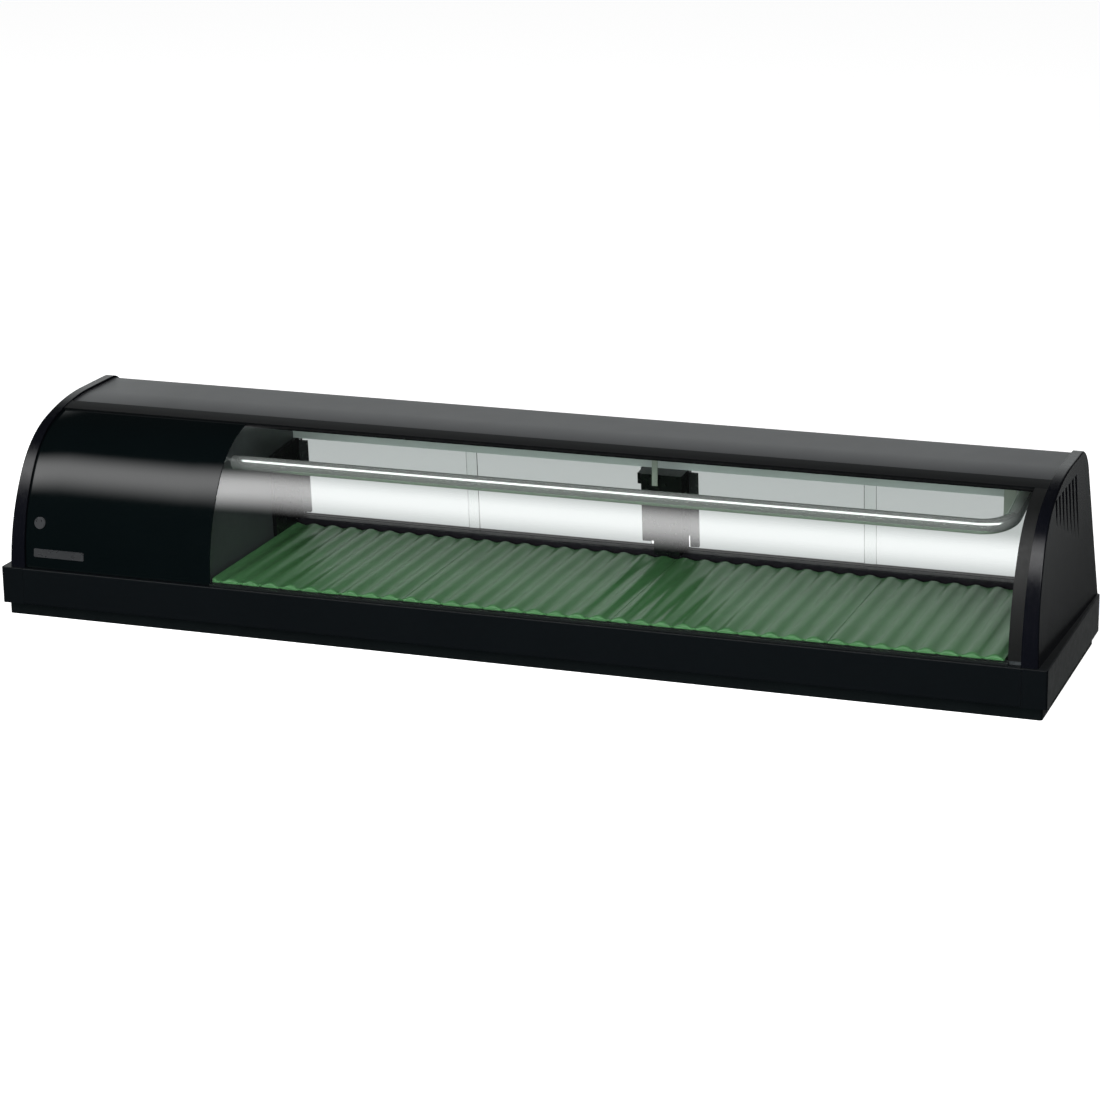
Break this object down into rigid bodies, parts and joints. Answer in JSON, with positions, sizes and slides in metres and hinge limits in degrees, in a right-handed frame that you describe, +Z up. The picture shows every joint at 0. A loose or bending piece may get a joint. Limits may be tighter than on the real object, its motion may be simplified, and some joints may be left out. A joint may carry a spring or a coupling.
{
  "type": "countertop refrigerated display case",
  "caption": "Low black countertop deli case with curved front glass, corrugated trays, a cooling pipe, sliding rear doors and a machine compartment at one end.",
  "frame": {"origin": "centre of the case's footprint, on the plane its plinth stands on", "axes": "+X along the case towards the glass end, -X is the machine end, -Y is the customer's curved glass side, +Y is the service side with the sliding doors, +Z up"},
  "size_m": [1.5, 0.345, 0.28],
  "materials": {
    "plinth_black": "satin black moulded plinth",
    "screw_steel": "zinc plated steel",
    "galvanised_steel": "spangled galvanised sheet",
    "base_black": "black extrusion, soft gloss",
    "foam": "closed-cell insulation foam",
    "tub_grey": "grey stainless liner",
    "coil_aluminium": "bare aluminium fins and plate",
    "drain_plastic": "black moulded spigot",
    "wall_grey": "satin grey liner wall",
    "end_black": "gloss bluish black moulding",
    "cover_black": "gloss black acrylic cover",
    "badge_grey": "dark grey blank plate",
    "clear_glass": "clear curved glass",
    "sill_grey": "grey soft sill strip",
    "seal_black": "black extruded seal",
    "trim_black": "black extrusion, soft gloss",
    "top_grey": "satin charcoal paint",
    "rail_grey": "grey painted extrusion",
    "track_dark": "dark double-channel track",
    "post_black": "black moulding, soft gloss",
    "polished_pipe": "polished bright tube",
    "hanger_grey": "pale grey-green bracket",
    "compressor_black": "black enamel shell",
    "mount_rubber": "black rubber grommet",
    "motor_grey": "grey enamel motor",
    "fan_aluminium": "stamped aluminium blades",
    "copper": "drawn copper tube",
    "rear_black": "satin black powder coat",
    "control_black": "textured black moulding",
    "gland_black": "black nylon gland",
    "knob_black": "black moulded knob",
    "switch_green": "translucent green rocker",
    "filter_grey": "grey mesh filter in a frame",
    "door_glass": "clear sliding pane",
    "grip_plastic": "dark edge grip",
    "tray_green": "glossy grey-green moulded tray"
  },
  "bodies": {
    "case": {"plinth": "plinth_black", "plinth_screws": "screw_steel", "base_deck": "galvanised_steel", "front_rail": "base_black", "rear_rail": "base_black", "base_cap_left": "base_black", "base_cap_right": "base_black", "tub_foam": "foam", "tub_liner": "tub_grey", "lower_evaporator": "coil_aluminium", "drain_fitting": "drain_plastic", "tray_supports": "tub_grey", "partition_wall": "wall_grey", "end_wall": "wall_grey", "end_panel_left": "end_black", "end_panel_right": "end_black", "machine_cover": "cover_black", "blank_badges": "badge_grey", "front_glass": "clear_glass", "glass_sill": "sill_grey", "glass_seal_right": "seal_black", "top_trim": "trim_black", "top_panel": "top_grey", "top_insulation": "foam", "upper_door_rail": "rail_grey", "lower_door_track": "track_dark", "jamb_left": "post_black", "jamb_right": "post_black", "centre_post": "post_black", "cooling_pipe": "polished_pipe", "pipe_hangers": "hanger_grey", "compressor": "compressor_black", "compressor_mounts": "mount_rubber", "condenser": "coil_aluminium", "fan_shroud": "galvanised_steel", "fan_motor": "motor_grey", "filter_drier": "copper", "refrigerant_tubes": "copper", "rear_panel": "rear_black", "control_box": "control_black", "panel_screws": "screw_steel", "cord_gland": "gland_black"},
    "door_1": {"door_glass_1": "door_glass", "door_grip_1": "grip_plastic"},
    "door_2": {"door_glass_2": "door_glass", "door_grip_2": "grip_plastic"},
    "door_3": {"door_glass_3": "door_glass", "door_grip_3": "grip_plastic"},
    "door_4": {"door_glass_4": "door_glass", "door_grip_4": "grip_plastic"},
    "food_tray_1": {"tray_1": "tray_green"},
    "food_tray_2": {"tray_2": "tray_green"},
    "food_tray_3": {"tray_3": "tray_green"},
    "food_tray_4": {"tray_4": "tray_green"},
    "knob": {"thermostat_knob": "knob_black"},
    "switch": {"power_switch": "switch_green"},
    "fan": {"fan_blade": "fan_aluminium"},
    "filter": {"air_filter": "filter_grey"}
  },
  "joints": [
    {"name": "door_1_slide", "type": "slide", "parent": "case", "child": "door_1", "axis": [1, 0, 0], "range_m": [0, 0.258]},
    {"name": "door_2_slide", "type": "slide", "parent": "case", "child": "door_2", "axis": [-1, 0, 0], "range_m": [0, 0.258]},
    {"name": "door_3_slide", "type": "slide", "parent": "case", "child": "door_3", "axis": [1, 0, 0], "range_m": [0, 0.25]},
    {"name": "door_4_slide", "type": "slide", "parent": "case", "child": "door_4", "axis": [-1, 0, 0], "range_m": [0, 0.25]},
    {"name": "tray_1_tip", "type": "hinge", "parent": "case", "child": "food_tray_1", "pos_m": [0, 0.1355, 0.0708], "axis": [-1, 0, 0], "range_deg": [0, 9]},
    {"name": "tray_2_tip", "type": "hinge", "parent": "case", "child": "food_tray_2", "pos_m": [0, 0.1355, 0.0708], "axis": [-1, 0, 0], "range_deg": [0, 9]},
    {"name": "tray_3_tip", "type": "hinge", "parent": "case", "child": "food_tray_3", "pos_m": [0, 0.1355, 0.0708], "axis": [-1, 0, 0], "range_deg": [0, 9]},
    {"name": "tray_4_tip", "type": "hinge", "parent": "case", "child": "food_tray_4", "pos_m": [0, 0.1355, 0.0708], "axis": [-1, 0, 0], "range_deg": [0, 9]},
    {"name": "knob_turn", "type": "hinge", "parent": "case", "child": "knob", "pos_m": [-0.522, 0.16466, 0.1548], "axis": [0, 0.9977, 0.0684], "range_deg": [0, 270]},
    {"name": "switch_rock", "type": "hinge", "parent": "case", "child": "switch", "pos_m": [-0.476, 0.15868, 0.15439], "axis": [1, 0, 0], "range_deg": [-6, 6]},
    {"name": "fan_spin", "type": "hinge", "parent": "case", "child": "fan", "pos_m": [-0.634, 0.0775, 0.124], "axis": [0, 1, 0], "continuous": true},
    {"name": "filter_pull", "type": "slide", "parent": "case", "child": "filter", "axis": [0, 0.9977, 0.0684], "range_m": [0, 0.06]}
  ]
}
